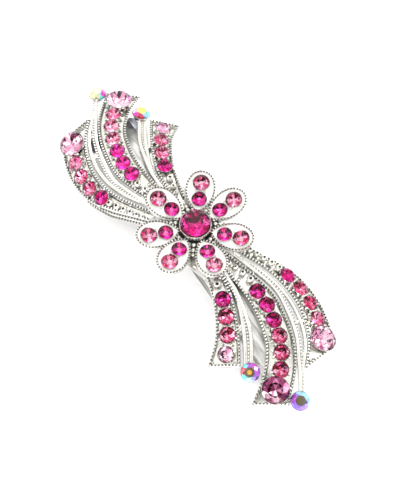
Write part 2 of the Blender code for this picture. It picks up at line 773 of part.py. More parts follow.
GROUPS = start_scene()
MATERIALS = make_materials()
make_ornament_casting()
make_flower_casting()
make_fan_stones()
make_flower_stones()
make_base_bar()
make_tension_bar()
make_lever_arm()
make_hinge_pin()
make_clasp()
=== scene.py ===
import math

import bmesh
import bpy
import numpy as np
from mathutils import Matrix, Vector

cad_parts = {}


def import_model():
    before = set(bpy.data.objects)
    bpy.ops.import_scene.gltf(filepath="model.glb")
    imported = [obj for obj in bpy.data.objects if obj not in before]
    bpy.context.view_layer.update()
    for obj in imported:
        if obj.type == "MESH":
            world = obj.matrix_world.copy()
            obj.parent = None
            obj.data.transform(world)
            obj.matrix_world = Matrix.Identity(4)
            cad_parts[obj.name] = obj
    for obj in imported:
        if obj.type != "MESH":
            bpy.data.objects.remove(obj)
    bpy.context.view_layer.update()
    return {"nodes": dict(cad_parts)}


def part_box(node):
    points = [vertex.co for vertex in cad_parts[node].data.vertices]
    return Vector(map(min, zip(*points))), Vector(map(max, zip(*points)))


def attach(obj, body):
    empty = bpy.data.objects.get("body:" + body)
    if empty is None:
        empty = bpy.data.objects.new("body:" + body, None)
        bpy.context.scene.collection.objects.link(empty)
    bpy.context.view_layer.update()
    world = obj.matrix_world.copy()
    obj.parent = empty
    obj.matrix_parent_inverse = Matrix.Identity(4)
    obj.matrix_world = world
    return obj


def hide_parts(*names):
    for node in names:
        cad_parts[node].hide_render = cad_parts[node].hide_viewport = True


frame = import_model()

# Looks of the rhinestone hair clip. Shapes are in millimetres in the ornament's own frame, whose
# origin is the top of the dome, and become metres in world(). Materials, lamps and the table are in
# metres.
MM = 0.001
RANDOM = np.random.default_rng(11)

# The ornament's design, as in the CAD.
LENGTHWISE_RADIUS = 182.0
CROSSWISE_RADIUS = 25.0
DOME_TWIST = 0.00142
BAND_UNDERSIDE = -1.6
CENTRE_LEVEL = 3.15
CENTRE_STONE_RADIUS = 3.3
CROWN_SHARE = 0.43
BASE_LEVEL = -2.3
PAD_PLACES = ((0.0, 0.0), (-24.0, -2.2), (24.0, 2.2))
FLOWER_PLACE = (0.5, 0.3)
PETAL_ANGLES = (39, 93, 140, 199, 251, 295, 350)
PETAL_BASE = 3.6
PETAL_TIP = 13.5
PETAL_HALF_WIDTH = 3.4
PETAL_FULLNESS = 0.35
PETAL_WIDEST = 0.897
PETAL_TILT = math.radians(8)
PETAL_LEVEL = 2.0
INNER_RING = 6.7
# Each band's two edges, from its tip to the hub.
BANDS = {
    "outer_band": (
        ((-38.3, -11.6), (-34.0, -13.9), (-28.0, -15.3), (-21.5, -14.9), (-15.5, -12.0), (-8.0, -7.0)),
        ((-39.4, -3.5), (-35.0, -7.2), (-30.2, -9.4), (-24.0, -10.3), (-17.0, -9.1), (-8.0, -4.6)),
    ),
    "middle_band": (
        ((-39.2, 10.4), (-36.0, 5.6), (-32.6, 2.4), (-28.5, 0.4), (-21.0, -1.0), (-8.0, -0.3)),
        ((-44.0, 3.9), (-38.3, -1.6), (-33.5, -4.5), (-27.7, -6.2), (-20.5, -6.6), (-8.0, -2.9)),
    ),
    "inner_band": (
        ((-27.0, 13.7), (-23.8, 9.8), (-20.0, 7.2), (-15.0, 4.9), (-8.0, 2.9)),
        ((-31.4, 8.1), (-26.0, 4.9), (-20.0, 2.2), (-15.0, 0.9), (-8.0, 0.5)),
    ),
}
STONES_IN_BAND = {"outer_band": 5, "middle_band": 7, "inner_band": 4}
OUTER_WIRE = (
    (-44.56, 1.56), (-41.0, -0.9), (-37.2, -3.1), (-32.4, -5.7), (-26.3, -7.3), (-20.0, -7.6),
    (-10.0, -4.4),
)
INNER_WIRE = ((-33.7, 7.2), (-31.5, 5.4), (-27.0, 2.7), (-23.0, 1.3), (-17.0, 0.0), (-10.0, 0.1))
CROSS_BARS = (
    ((-30.2, -9.7), (-29.2, -6.5)),
    ((-37.0, -5.4), (-35.4, -3.6)),
    ((-24.8, 4.9), (-23.8, 1.2)),
)
# Polished beads in the bands' narrow ends: (x, y, diameter).
HUB_BEADS = (
    (-17.1, -11.5, 1.7), (-15.3, -10.6, 1.7), (-13.6, -9.8, 1.6), (-12.0, -9.0, 1.5), (-10.5, -8.2, 1.4),
    (-9.1, -7.4, 1.2), (-15.6, -8.9, 0.9), (-13.6, -8.0, 0.9), (-11.9, -7.2, 0.8), (-10.3, -6.5, 0.8),
    (-16.7, -4.1, 1.8), (-14.5, -3.5, 1.6), (-12.6, -2.9, 1.4), (-11.0, -2.3, 1.2), (-15.3, -2.0, 0.9),
    (-13.4, -1.5, 0.9), (-11.7, -1.1, 0.8), (-15.6, -5.4, 0.9), (-13.4, -4.7, 0.9),
    (-13.9, 2.7, 1.8), (-11.7, 2.2, 1.5), (-10.0, 1.8, 1.2), (-12.7, 3.9, 0.9), (-12.3, 1.1, 0.8),
)

# Fine metalwork.
SECTIONS = 96
FLOOR_LEVEL = -1.02
BEAD_SIZE = 0.62
BEAD_PITCH = 0.74
BEAD_STEPS = 6
BEAD_DEPTH = 0.93
BEAD_INSET = 0.22
BEAD_LEVEL = -0.3
RAIL_OUTSIDE = 1.05
RAIL_OVERHANG = 1.6
RAIL_WIDTH = 0.95
RAIL_TOP = -0.3
WIRE_WIDTH = 0.85
WIRE_TOP = -0.12
WIRE_BEAD_SIZE = 0.46
WIRE_BEAD_OFFSET = 0.66
WIRE_BEAD_LEVEL = -0.42
CROSS_BAR_WIDTH = 1.1
CROSS_BAR_LOW = -1.4
CROSS_BAR_TOP = -0.5
CLAW_RADIUS = 0.3
FULL_TURN = 2 * math.pi

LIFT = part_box("centre_stone")[1].z / MM - CENTRE_LEVEL - CROWN_SHARE * CENTRE_STONE_RADIUS


# ---- curves over the dome

def dome(xy):
    """The dome's height at given places."""
    x, y = xy[..., 0], xy[..., 1]
    return -(x * x / (2 * LENGTHWISE_RADIUS) + y * y / (2 * CROSSWISE_RADIUS) - DOME_TWIST * x * y)


def dome_normals(xy):
    x, y = xy[..., 0], xy[..., 1]
    rise_x = x / LENGTHWISE_RADIUS - DOME_TWIST * y
    rise_y = y / CROSSWISE_RADIUS - DOME_TWIST * x
    return unit(np.stack([rise_x, rise_y, np.ones_like(x)], axis=-1))


def unit(vectors):
    return vectors / np.linalg.norm(vectors, axis=-1, keepdims=True)


def on_dome(xy, level):
    """Points at a level above the dome."""
    xy = np.asarray(xy, float)
    return np.concatenate([xy, (dome(xy) + level)[..., None]], axis=-1)


def reach_of(line):
    """Each point's distance along a line."""
    steps = np.linalg.norm(np.diff(line, axis=0), axis=1)
    return np.concatenate([[0], np.cumsum(steps)])


def resample(line, count):
    """Evenly spaced points on a line."""
    reach = reach_of(line)
    even = np.linspace(0, reach[-1], count)
    return np.stack([np.interp(even, reach, axis) for axis in line.T], axis=1)


def shares_of(line):
    """Each point's place along a line, as a share of the line's length."""
    reach = reach_of(line)
    return reach / reach[-1]


def part_of(line, start, end):
    """The stretch of a line between two shares of its length."""
    even = np.linspace(start, end, len(line))
    return np.stack([np.interp(even, shares_of(line), axis) for axis in line.T], axis=1)


def smooth_path(points, count):
    """Evenly spaced points on a Catmull-Rom curve through the given ones."""
    knots = np.array(points, float)
    knots = np.vstack([2 * knots[0] - knots[1], knots, 2 * knots[-1] - knots[-2]])
    t = np.linspace(0, 1, 24, endpoint=False)[:, None]
    fine = [
        (2 * b + (c - a) * t + (2 * a - 5 * b + 4 * c - d) * t**2 + (3 * b - a - 3 * c + d) * t**3) / 2
        for a, b, c, d in zip(knots, knots[1:], knots[2:], knots[3:])
    ]
    return resample(np.vstack([*fine, knots[-2:-1]]), count)


def beside(line, distance):
    """A line parallel to a flat one, on its left for a positive distance."""
    ahead = unit(np.gradient(line, axis=0))
    return line + distance * np.stack([-ahead[:, 1], ahead[:, 0]], axis=1)


# ---- mesh making

SHARP_ANGLE = math.radians(40)
TUBE_SIDES = 8
BALL_TURNS = 14
BALL_ROWS = 8


class Form:
    """Closed shapes gathered into one mesh.

    Each point's value sets its finish and painted shade: -1 is satin, 0 polished, 1 painted dark as
    shade and 2 painted black as deep shadow, in hollows, gaps and undersides.
    """

    def __init__(self):
        self.points = []
        self.faces = []
        self.painted_shade_and_satin = []
        self.count = 0

    def add(self, points, faces, painted_shade_and_satin):
        points = np.asarray(points, float).reshape(-1, 3)
        self.faces += [tuple(self.count + i for i in face) for face in faces]
        self.points.append(points)
        self.painted_shade_and_satin.append(np.broadcast_to(np.ravel(painted_shade_and_satin), len(points)).copy())
        self.count += len(points)

    def loft(self, rings, painted_shade_and_satin):
        """A closed skin through rings of points, with capped ends."""
        rings = np.asarray(rings, float)
        n, m = rings.shape[:2]
        faces = [
            (r * m + i, r * m + (i + 1) % m, (r + 1) * m + (i + 1) % m, (r + 1) * m + i)
            for r in range(n - 1) for i in range(m)
        ]
        faces += [tuple(range(m))[::-1], tuple(range((n - 1) * m, n * m))]
        self.add(rings, faces, np.broadcast_to(painted_shade_and_satin, (n, m)))

    def take(self, other, turned=False):
        """Adds another form, which may be given half a turn about Z."""
        points = np.vstack(other.points) * ((-1, -1, 1) if turned else 1)
        self.add(points, other.faces, np.concatenate(other.painted_shade_and_satin))

    def mesh(self, name):
        mesh_data = mesh_of(name, np.vstack(self.points), self.faces)
        layer = mesh_data.attributes.new("painted_shade_and_satin", "FLOAT", "POINT")
        layer.data.foreach_set("value", np.concatenate(self.painted_shade_and_satin))
        mesh_data.shade_smooth()
        mesh_data.set_sharp_from_angle(angle=SHARP_ANGLE)
        return mesh_data


def mesh_of(name, points, faces):
    """A mesh with its faces turned outwards, from points in millimetres."""
    mesh_data = bpy.data.meshes.new(name)
    mesh_data.from_pydata(world(points).tolist(), [], faces)
    bm = bmesh.new()
    bm.from_mesh(mesh_data)
    bmesh.ops.recalc_face_normals(bm, faces=bm.faces)
    bm.to_mesh(mesh_data)
    bm.free()
    return mesh_data


def world(points):
    """Points of the ornament's frame in the scene's, in metres."""
    return (np.asarray(points) + (0, 0, LIFT)) * MM


def circle(count):
    """Evenly spaced angles of a full turn."""
    return np.linspace(0, FULL_TURN, count, endpoint=False)


def across_axis(axis):
    """Two directions square to an axis and to each other."""
    one = unit(np.cross(axis, (0.0, 1.0, 0.0)))
    return one, np.cross(axis, one)


def around(axis, turn):
    """Directions square to an axis, one for each angle."""
    one, two = across_axis(axis)
    return np.outer(np.cos(turn), one) + np.outer(np.sin(turn), two)


def painted_shade_and_satin_values(profile):
    """The painted shade value of each point of a profile, which comes last in (distance, level, painted
    shade).
    """
    return np.array([painted_shade_and_satin for _, _, painted_shade_and_satin in profile])


def make_object(name, mesh_data, materials, body, slot, *nodes):
    piece = bpy.data.objects.new(name, mesh_data)
    bpy.context.scene.collection.objects.link(piece)
    for material in materials:
        mesh_data.materials.append(material)
    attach(piece, body)
    if nodes:
        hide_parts(*nodes)
    return piece


def tube(form, line, radius, painted_shade_and_satin):
    """A round tube along a chain of points over the dome."""
    ahead = unit(np.gradient(line, axis=0))
    side = unit(np.cross(dome_normals(line[:, :2]), ahead))
    up = np.cross(ahead, side)
    turn = circle(TUBE_SIDES)[None, :, None]
    radius = np.broadcast_to(radius, len(line))[:, None, None]
    rings = line[:, None] + radius * (np.cos(turn) * side[:, None] + np.sin(turn) * up[:, None])
    form.loft(rings, painted_shade_and_satin)


def bead_string(form, xy, level, size=BEAD_SIZE, pitch=BEAD_PITCH, lifted=on_dome, painted_shade_scale=3.4):
    """A milgrain line: a tube whose radius swells once for each bead, painted dark as shade between the
    beads.
    """
    beads = max(2, round(reach_of(xy)[-1] / pitch))
    even = resample(xy, beads * BEAD_STEPS + 1)
    phase = (np.arange(len(even)) % BEAD_STEPS) / BEAD_STEPS * 2 - 1
    swell = np.sqrt(1 - (BEAD_DEPTH * phase) ** 2)
    tube(form, lifted(even, level), size / 2 * swell, np.clip((1 - swell) * painted_shade_scale, 0, 2)[:, None])


def ball(form, centre, radius, painted_shade_and_satin=0.0):
    """A polished bead, painted darker below as shade."""
    heights = np.linspace(-math.pi / 2, math.pi / 2, BALL_ROWS + 1)[1:-1]
    turn = circle(BALL_TURNS)
    flat = np.stack([np.cos(turn), np.sin(turn)], axis=1)
    rings = [
        np.concatenate([math.cos(h) * flat, np.full((BALL_TURNS, 1), math.sin(h))], axis=1)
        for h in heights
    ]
    pole = np.tile((0, 0, 0.999), (BALL_TURNS, 1))
    rings = np.array([rings[0] * 0.05 - pole, *rings, rings[-1] * 0.05 + pole])
    low = np.clip(-rings[..., 2], 0, 1) * (1 - painted_shade_and_satin) + painted_shade_and_satin
    form.loft(rings * radius + np.asarray(centre), low)


# A dimpled bead's section, as shares of its radius: (distance from its axis, height, painted shade).
DIMPLED_SECTION = (
    (0.1, -0.9, 0.6), (0.8, -0.6, 0.6), (1.0, 0.0, 0.3), (0.94, 0.35, 0.0), (0.74, 0.66, 0.0),
    (0.5, 0.82, 0.0), (0.36, 0.8, 0.6), (0.26, 0.6, 1.6), (0.05, 0.5, 1.8),
)
DIMPLED_TURNS = 16


def dimpled_bead(form, xy, level, radius):
    """A bead that stands square to the dome, with a small pit in its top that is painted dark as shade.
    """
    axis = dome_normals(np.array(xy))
    middle = on_dome(xy, level)
    out = around(axis, circle(DIMPLED_TURNS))
    rings = [middle + radius * (axis * height + out * reach) for reach, height, _ in DIMPLED_SECTION]
    form.loft(rings, painted_shade_and_satin_values(DIMPLED_SECTION)[:, None])


def rail(form, xy, width, top, low=-1.5, taper=(0.0, 0.0), painted_shade_scale=1.0):
    """A polished half-round rib. Each taper is the share of its length over which an end narrows."""
    # The last number of each profile point is its painted shade, scaled by the last argument.
    profile = (
        (-0.9, low, 0.7), (-1, top - 0.5, 0.35), (-1, top - 0.24, 0.1), (-0.72, top - 0.07, 0),
        (-0.3, top, 0), (0.3, top, 0),
        (0.72, top - 0.07, 0), (1, top - 0.24, 0.1), (1, top - 0.5, 0.35), (0.9, low, 0.7),
    )
    share = np.linspace(0, 1, len(xy))
    wide = np.ones(len(xy))
    for length, far in zip(taper, (share, 1 - share)):
        if length:
            wide = np.minimum(wide, 0.08 + 0.92 * np.clip(far / length, 0, 1) ** 0.7)
    ahead = unit(np.gradient(xy, axis=0))
    side = np.stack([-ahead[:, 1], ahead[:, 0]], axis=1) * (wide * width / 2)[:, None]
    rings = np.stack([on_dome(xy + side * across, level) for across, level, _ in profile], axis=1)
    form.loft(rings, painted_shade_scale * painted_shade_and_satin_values(profile)[None, :])


# ---- the ribbon fans

# One side of a band's section, from its underside over the lip to the floor: (distance from the
# edge, level, painted shade).
LIP_SECTION = (
    (0.12, BAND_UNDERSIDE, 0.3), (0.0, -1.48, 0.2), (0.0, -0.64, 0.1), (0.06, -0.5, 0.0),
    (0.5, -0.47, 0.0), (0.58, -0.56, 0.12), (0.76, FLOOR_LEVEL + 0.05, 0.1),
)
LIP_WIDTH = 0.9
# A band is thinner at its tip: by this much, over this length.
TIP_UNDERCUT = 0.6
TIP_LENGTH = 1.6
# Small knobs inside a band's tip, as shares of its width, and their distance from the tip.
TIP_KNOBS = (0.1, 0.72, 0.82, 0.92)
KNOB_INSET = 0.95
KNOB_LEVEL = -0.75
TIP_RAIL_INSET = 0.3
TIP_RAIL_WIDTH = 0.56
TIP_RAIL_TOP = -0.5
TIP_RAIL_LOW = -1.0
# The hem's section: (distance outside the band's edge, level, painted shade).
HEM_SECTION = (
    (0.0, -0.7, 0.2), (0.2, -1.3, 0.3), (0.32, -1.5, 0.0), (0.5, -2.3, 0.0), (0.5, -2.6, 0.4),
    (0.0, -2.7, 0.5),
)
# The hem starts at this share of the band's length, and reaches its full depth after HEM_RAMP of its
# own length.
HEM_START = 0.52
HEM_RAMP = 0.45
HEM_TOP = -0.9
# Milgrain lines on the hem: (distance outside the band's edge, level).
HEM_ROWS = ((0.36, -1.25), (0.66, -2.4))
HEM_ROW_TOP = -0.8
HEM_BEAD_SIZE = 0.56
HEM_BEAD_PITCH = 0.72


def band(form, name):
    """A ribbon band with raised lips and a sunken floor, closed at its tip by a small rail."""
    first, second = (smooth_path(edge, SECTIONS) for edge in BANDS[name])
    width = np.linalg.norm(second - first, axis=1)[:, None]
    inward = (second - first) / width
    middle = (first + second) / 2
    underside = BAND_UNDERSIDE + TIP_UNDERCUT * np.clip(1 - reach_of(middle) / TIP_LENGTH, 0, 1)
    section = [
        on_dome(first + inward * distance, np.maximum(level, underside))
        for distance, level, _ in LIP_SECTION
    ]
    for share in (0.25, 0.5, 0.75):
        across = LIP_WIDTH + share * (width - 2 * LIP_WIDTH)
        section.append(on_dome(first + inward * across, FLOOR_LEVEL - 0.03))
    section += [
        on_dome(second - inward * distance, np.maximum(level, underside))
        for distance, level, _ in reversed(LIP_SECTION)
    ]
    section.append(on_dome(middle, underside))
    lip = painted_shade_and_satin_values(LIP_SECTION)
    dark = np.concatenate([lip, (0.0, 0.0, 0.0), lip[::-1], (0.3,)])
    form.loft(np.stack(section, axis=1), dark[None, :])
    tip = resample(np.array([first[0], second[0]]), 24)
    for share in TIP_KNOBS:
        spot = first[0] + (second[0] - first[0]) * share
        ball(form, on_dome(spot + unit(first[1] - first[0]) * KNOB_INSET, KNOB_LEVEL), CLAW_RADIUS)
    along_band = unit(first[1] - first[0] + second[1] - second[0])
    bar = tip + along_band * TIP_RAIL_INSET
    rail(form, bar, TIP_RAIL_WIDTH, TIP_RAIL_TOP, TIP_RAIL_LOW, painted_shade_scale=0.3)
    bead_string(form, part_of(tip, 0.03, 0.97) + along_band * BEAD_INSET, BEAD_LEVEL)
    for edge, sign in ((first, 1), (second, -1)):
        bead_string(form, edge + inward * BEAD_INSET * sign, BEAD_LEVEL)
    return first, second


def hem(form, first, second):
    """The ribbed wall that hangs from a band's outer edge, near the hub."""
    drop = np.clip(np.linspace(0, 1, SECTIONS) / HEM_RAMP, 0, 1)[:, None]
    edge = part_of(first, HEM_START, 1)
    outward = unit(edge - part_of(second, HEM_START, 1))
    rings = []
    for distance, level, _ in HEM_SECTION:
        spot = on_dome(edge + outward * distance * drop, 0)
        spot[:, 2] += np.interp(drop[:, 0], (0, 1), (max(level, HEM_TOP), level))
        rings.append(spot)
    form.loft(np.stack(rings, axis=1), painted_shade_and_satin_values(HEM_SECTION)[None, :])
    for distance, level in HEM_ROWS:
        row = edge + outward * distance * drop
        heights = np.interp(drop[:, 0], (0, 1), (HEM_ROW_TOP, level))

        def lifted(even, _, row=row, heights=heights):
            return on_dome(even, np.interp(shares_of(even), shares_of(row), heights))

        bead_string(form, row, 0, HEM_BEAD_SIZE, HEM_BEAD_PITCH, lifted)


def wire(form, points, bead_side):
    """A rib with a milgrain line beside it, which ends under an aurora stone."""
    line = smooth_path(points, SECTIONS)
    rail(form, part_of(line, 0.02, 1), WIRE_WIDTH, WIRE_TOP)
    row = beside(part_of(line, 0.055, 0.97), bead_side * WIRE_BEAD_OFFSET)
    bead_string(form, row, WIRE_BEAD_LEVEL, WIRE_BEAD_SIZE, painted_shade_scale=1.6)


def cross_bar(form, start, end):
    line = resample(np.array([start, end], float), 8)
    rail(form, line, CROSS_BAR_WIDTH, CROSS_BAR_TOP, CROSS_BAR_LOW, painted_shade_scale=1.7)


def stone_facts(node):
    """Centre of the girdle, axis and radius of a CAD stone, in model millimetres."""
    mesh_data = frame["nodes"][node].data
    points = np.empty(len(mesh_data.vertices) * 3)
    mesh_data.vertices.foreach_get("co", points)
    points = np.unique(np.round(points.reshape(-1, 3) / MM - (0, 0, LIFT), 4), axis=0)
    middle = points.mean(axis=0)
    axis = np.linalg.svd(points - middle)[2][2]
    axis = axis * (1 if axis[2] > 0 else -1)
    away = points - middle
    radial = np.linalg.norm(away - np.outer(away @ axis, axis), axis=1)
    radius = radial.max()
    girdle = points[radial > radius * 0.98].mean(axis=0)
    return girdle, axis, radius


# A seat's depth, which is at most a share of its stone's radius, and how steeply it draws in.
SEAT_DEPTH = 1.1
SEAT_DEPTH_SHARE = 0.45
SEAT_SLOPE = 0.75
SEAT_TURNS = 37
# Claws between stones sit this far from the row's middle, a little below the girdles.
CLAW_OFFSET = 1.05
CLAW_DROP = 0.05
# The small bars lean along the row by this much.
BAR_LEAN = 0.42
BAR_RADIUS = 0.26


def seat(form, girdle, axis, radius):
    """The metal cone that holds a stone up to its girdle."""
    low = min(SEAT_DEPTH, SEAT_DEPTH_SHARE * radius)
    profile = (
        (radius - 0.02, -0.1, 0.8), (radius + 0.01, -0.04, 0.6), (radius + 0.05, -0.03, 0.2),
        (radius + 0.09, -0.1, 0.0),
        (radius + 0.13 - SEAT_SLOPE * low, -low, 0.15), (radius + 0.03 - SEAT_SLOPE * low, -low, 0.2),
    )
    out = around(axis, np.linspace(0, FULL_TURN, SEAT_TURNS))
    rings = np.stack([girdle + axis * level + reach * out for reach, level, _ in profile], axis=1)
    form.loft(rings, painted_shade_and_satin_values(profile)[None, :])


def claws(form, side, name):
    """Beads that hold the stones where they meet, and small bars from the stones to the band's lips."""
    facts = [stone_facts(f"{side}_{name}_stone_{i + 1}") for i in range(STONES_IN_BAND[name])]
    for girdle, axis, radius in facts:
        seat(form, girdle, axis, radius)
    for (a, axis, ra), (b, _, rb) in zip(facts, facts[1:]):
        gap = unit(b - a)
        across = unit(np.cross(axis, gap))
        middle = a + gap * (ra + (np.linalg.norm(b - a) - ra - rb) / 2) - axis * CLAW_DROP
        for sign in (-1, 1):
            ball(form, middle + across * sign * CLAW_OFFSET, CLAW_RADIUS)
    for i, (girdle, axis, radius) in enumerate(facts):
        near = facts[i + 1] if i + 1 < len(facts) else facts[i - 1]
        run = unit(near[0] - girdle)
        across = unit(np.cross(axis, run))
        for sign in (-1, 1):
            for lean in (-BAR_LEAN, BAR_LEAN) if i else (BAR_LEAN,):
                out = unit(across * sign + run * lean)
                start = girdle + out * (radius - 0.1) - axis * 0.25
                end = girdle + out * (radius + 0.4) - axis * 0.45
                tube(form, np.linspace(start, end, 4), BAR_RADIUS, 0.05)


def fan(side):
    """One ribbon fan, modelled at the -X end. The other is the same, given half a turn."""
    form = Form()
    lines = {name: band(form, name) for name in BANDS}
    for name in ("outer_band", "inner_band"):
        first, second = lines[name]
        outward = unit(second - first)
        line = second + outward * RAIL_OUTSIDE
        ahead = line[0] - line[1]
        line = np.vstack([line[0] + unit(ahead) * RAIL_OVERHANG, line])
        rail(form, part_of(resample(line, SECTIONS), 0, 0.93), RAIL_WIDTH, RAIL_TOP, taper=(0.08, 0.1))
    hem(form, *lines["outer_band"])
    wire(form, OUTER_WIRE, -1)
    wire(form, INNER_WIRE, 1)
    for start, end in CROSS_BARS:
        cross_bar(form, start, end)
    for x, y, diameter in HUB_BEADS:
        dimpled_bead(form, (x, y), FLOOR_LEVEL + 0.42 * diameter, diameter / 2)
    for points in (OUTER_WIRE, INNER_WIRE):
        wire_cup(form, np.array(points[0]))
    both = Form()
    both.take(form, turned=side == "right")
    for name in BANDS:
        claws(both, side, name)
    for name in ("outer_aurora", "inner_aurora"):
        seat(both, *stone_facts(f"{side}_{name}_stone"))
    return both


# A wire cup's section, from its underside's middle round: (distance from its axis, level, painted
# shade).
CUP_SECTION = (
    (0.3, -1.5, 0.2), (1.1, -1.45, 0.4), (1.7, -1.0, 0.7), (2.05, -0.3, 0.6), (2.12, 0.02, 0.2),
    (1.95, 0.02, 0.3), (1.3, -0.7, 0.8), (0.3, -0.86, 0.9),
)
CUP_TURNS = 28


def wire_cup(form, centre):
    """The bowl under an aurora stone, square to the dome."""
    axis = dome_normals(centre)
    middle = on_dome(centre, 0)
    out = around(axis, circle(CUP_TURNS))
    rings = [middle + axis * level + radius * out for radius, level, _ in CUP_SECTION]
    form.loft(rings, painted_shade_and_satin_values(CUP_SECTION)[:, None])


# ---- hub and flower

def ring_loft(form, profile, centre=(0.0, 0.0), turns=56, squash=(1.0, 1.0), level=lambda xy: 0.0):
    """A turned or oval form. The profile gives (radius, level, painted shade) from its underside's
    middle.
    """
    turn = circle(turns)
    rings = []
    for radius, height, _ in profile:
        xy = np.stack([
            centre[0] + radius * squash[0] * np.cos(turn), centre[1] + radius * squash[1] * np.sin(turn),
        ], axis=1)
        rings.append(np.concatenate([xy, (height + level(xy) * np.ones(turns))[:, None]], axis=1))
    form.loft(rings, painted_shade_and_satin_values(profile)[:, None])


def base_top(x):
    """The level of the base bar's top, which is bowed along the clip."""
    return BASE_LEVEL - x * x / (2 * LENGTHWISE_RADIUS)


# The hub plate's section, as shares of its half length and half width: (share, level, painted shade).
PLATE_SECTION = (
    (0.3, -1.48, 0.3), (0.97, -1.48, 0.3), (1.0, -1.4, 0.2), (1.0, -0.85, 0.2), (0.97, -0.78, 0.3),
    (0.3, -0.76, 0.9),
)
PLATE_HALF_SIZE = (15.0, 6.0)
PLATE_BEADS = 26
PLATE_BEAD_RING = (13.3, 5.3)
PLATE_BEAD_RADIUS = 0.42
PLATE_BEAD_LEVEL = -0.6
PAD_HALF_SIZE = (1.8, 1.4)


def hub():
    """The oval plate under the flower, with beads round its edge, and the pads on the base bar."""
    form = Form()
    ring_loft(form, PLATE_SECTION, squash=PLATE_HALF_SIZE, level=dome)
    for x, y in PAD_PLACES:
        low = base_top(x) + 0.1 - (0 if x == 0 else 0.16)
        high = float(dome(np.array((x, y)))) - 1.25
        pad = (
            (0.2, low, 0.3), (1.0, low, 0.3), (0.9, low + 0.08, 0.2),
            (0.86, high, 0.2), (0.2, high, 0.2),
        )
        ring_loft(form, pad, (x, y), 28, PAD_HALF_SIZE)
    for i in range(PLATE_BEADS):
        turn = FULL_TURN * i / PLATE_BEADS
        spot = np.array((PLATE_BEAD_RING[0] * math.cos(turn), PLATE_BEAD_RING[1] * math.sin(turn)))
        ball(form, on_dome(spot, PLATE_BEAD_LEVEL), PLATE_BEAD_RADIUS, 0.1)
    return form


def teardrop(inset, count=64):
    """A petal's outline in the petal's plane: (distance from the flower's axis, sideways)."""
    length = PETAL_TIP - PETAL_BASE
    turn = FULL_TURN * (np.arange(count) + 0.5) / count
    out = PETAL_BASE + length / 2 - np.cos(turn) / 2 * (length - 2 * inset)
    side = np.sin(turn) * np.sin(turn / 2) ** PETAL_FULLNESS / PETAL_WIDEST * (PETAL_HALF_WIDTH - inset)
    return np.stack([out, side], axis=1)


def on_petal(outline, level, angle):
    """Points of a petal's plane at a level above it, in the ornament's frame."""
    out, side = outline[:, 0], outline[:, 1]
    x = FLOWER_PLACE[0] + out * math.cos(angle) - side * math.sin(angle)
    y = FLOWER_PLACE[1] + out * math.sin(angle) + side * math.cos(angle)
    rise = (out - INNER_RING) * math.tan(PETAL_TILT)
    return np.stack([x, y, PETAL_LEVEL + rise + level], axis=1)


# A petal's section, from the middle of its underside over the rim to the bowl: (inset, level, painted
# shade).
PETAL_SECTION = (
    (1.3, -1.95, 0.3), (0.75, -1.9, 0.3), (0.45, -1.72, 0.3), (0.2, -1.1, 0.35), (0.06, -0.86, 0.1),
    (0.0, -0.78, 0.0), (0.02, -0.66, 0.25), (0.1, -0.6, 0.6), (0.1, -0.52, 0.5), (0.0, -0.42, 0.1),
    (0.0, -0.2, 0.0), (0.06, -0.12, 0.0), (0.4, -0.1, 0.0), (0.46, -0.18, -0.6), (0.54, -0.3, -1),
    (0.9, -0.46, -1), (1.3, -0.6, -1), (1.8, -0.7, -1),
)
PETAL_BEAD_INSET = 0.24
PETAL_BEAD_SIZE = 0.52
PETAL_BEAD_PITCH = 0.7
# The section of the flower's middle, from its underside up the outside and into the cup for the
# centre stone: (radius, level, painted shade).
CORE_SECTION = (
    (0.2, -0.66, 0.3), (3.5, -0.66, 0.3), (4.3, -0.1, 0.4), (5.3, 0.1, 0.8), (5.35, 0.85, 1.4),
    (5.0, 1.0, 1.7), (3.8, 1.2, 1.7), (3.68, 1.6, 0.6), (3.57, 2.7, 0.25), (3.55, 2.9, 0.0),
    (3.46, 3.0, 0.1), (3.36, 2.98, 0.5), (2.7, 1.7, 0.9), (0.2, 1.42, 0.9),
)
# Beads between two petals: (share of the angle between them, distance from the axis, radius, level).
CORE_BEADS = (
    (0.25, 4.4, 0.42, 1.35), (0.75, 4.4, 0.42, 1.35), (0.5, 4.5, 0.5, 1.4), (0.5, 5.5, 0.5, 1.0),
    (0.5, 6.5, 0.42, 0.7),
)
PETAL_CLAW_OFFSET = 1.15
PETAL_CLAW_RADIUS = 0.28
SIDE_CLAW_RADIUS = 0.2


def flower():
    form = Form()
    dark = painted_shade_and_satin_values(PETAL_SECTION)[:, None]
    for i, degrees in enumerate(PETAL_ANGLES):
        angle = math.radians(degrees)
        form.loft([on_petal(teardrop(inset), level, angle) for inset, level, _ in PETAL_SECTION], dark)
        rim = teardrop(PETAL_BEAD_INSET, 200)
        rim = np.vstack([rim, rim[:1]])

        def lifted(xy, level, angle=angle):
            return on_petal(xy, level, angle)

        bead_string(form, rim, 0.0, PETAL_BEAD_SIZE, PETAL_BEAD_PITCH, lifted, 5.0)
        claw_petal(form, i)
    ring_loft(form, CORE_SECTION, FLOWER_PLACE)
    for degrees, following in zip(PETAL_ANGLES, (*PETAL_ANGLES[1:], PETAL_ANGLES[0] + 360)):
        for share, out, radius, level in CORE_BEADS:
            angle = math.radians(degrees + (following - degrees) * share)
            x, y = FLOWER_PLACE[0] + out * math.cos(angle), FLOWER_PLACE[1] + out * math.sin(angle)
            ball(form, (x, y, level), radius, 0.1)
    return form


